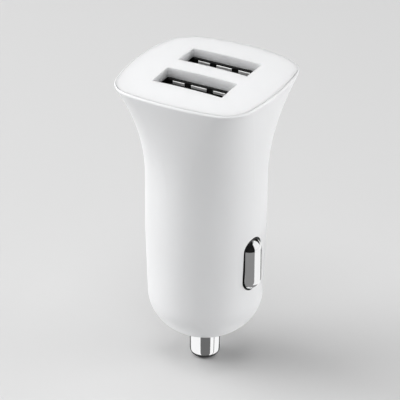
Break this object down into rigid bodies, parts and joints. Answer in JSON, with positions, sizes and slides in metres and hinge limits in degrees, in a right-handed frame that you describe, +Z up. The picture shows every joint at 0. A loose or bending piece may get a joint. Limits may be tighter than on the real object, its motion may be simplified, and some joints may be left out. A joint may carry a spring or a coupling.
{
  "type": "car charger plug",
  "caption": "White plug-in car charger: flared rounded-square head with two charging sockets, round barrel with sprung side contacts, domed end and sprung centre tip.",
  "frame": {"origin": "lowest point of the centre tip, on the barrel's axis", "axes": "+Z up along the barrel from the tip to the crowned face, +X along the sockets' long side towards the right side contact, -Y towards the front socket"},
  "size_m": [0.026, 0.026, 0.0522],
  "materials": {
    "housing_plastic": "white moulded plastic, satin gloss",
    "face_plastic": "white moulded plastic, satin gloss",
    "socket_plastic": "black moulded plastic",
    "socket_contact": "nickel-plated strip",
    "bright_contact": "polished plating",
    "spring_steel": "drawn spring steel",
    "terminal_brass": "stamped brass",
    "board_green": "green solder mask",
    "ferrite": "sintered ferrite",
    "copper_wire": "enamelled copper wire",
    "capacitor_can": "drawn aluminium can",
    "component_black": "moulded epoxy",
    "fuse_ceramic": "white ceramic",
    "chip_ceramic": "tan ceramic"
  },
  "bodies": {
    "plug": {"housing": "housing_plastic", "face_plate": "face_plastic", "port_front": "socket_plastic", "port_rear": "socket_plastic", "port_board": "board_green", "main_board": "board_green", "tip_spring": "spring_steel", "tip_terminal": "terminal_brass", "ground_spring_right": "spring_steel", "ground_spring_left": "spring_steel", "ground_bracket_right": "terminal_brass", "ground_bracket_left": "terminal_brass", "inductor_core": "ferrite", "inductor_winding": "copper_wire", "input_capacitor": "capacitor_can", "output_capacitor": "capacitor_can", "converter_chip": "component_black", "chip_leads": "spring_steel", "rectifier_diode": "component_black", "input_fuse": "fuse_ceramic", "chip_resistors": "component_black", "chip_capacitors": "chip_ceramic", "front_power_contact": "socket_contact", "front_data_contact": "socket_contact", "front_ground_contact": "socket_contact", "rear_power_contact": "socket_contact", "rear_data_contact": "socket_contact", "rear_ground_contact": "socket_contact"},
    "tip": {"tip_contact": "bright_contact"},
    "right_contact": {"ground_contact_right": "bright_contact"},
    "left_contact": {"ground_contact_left": "bright_contact"}
  },
  "joints": [
    {"name": "tip_slide", "type": "slide", "parent": "plug", "child": "tip", "axis": [0, 0, 1], "range_m": [0, 0.0025], "stiffness_N_per_m": 300, "springref_m": -0.003, "deforming": ["tip_spring"]},
    {"name": "right_contact_slide", "type": "slide", "parent": "plug", "child": "right_contact", "axis": [-0.9836, 0.1805, 0], "range_m": [0, 0.0013], "stiffness_N_per_m": 300, "springref_m": -0.003, "deforming": ["ground_spring_right"]},
    {"name": "left_contact_slide", "type": "slide", "parent": "plug", "child": "left_contact", "axis": [0.9836, -0.1805, 0], "range_m": [0, 0.0013], "stiffness_N_per_m": 300, "springref_m": -0.003, "deforming": ["ground_spring_left"]}
  ]
}
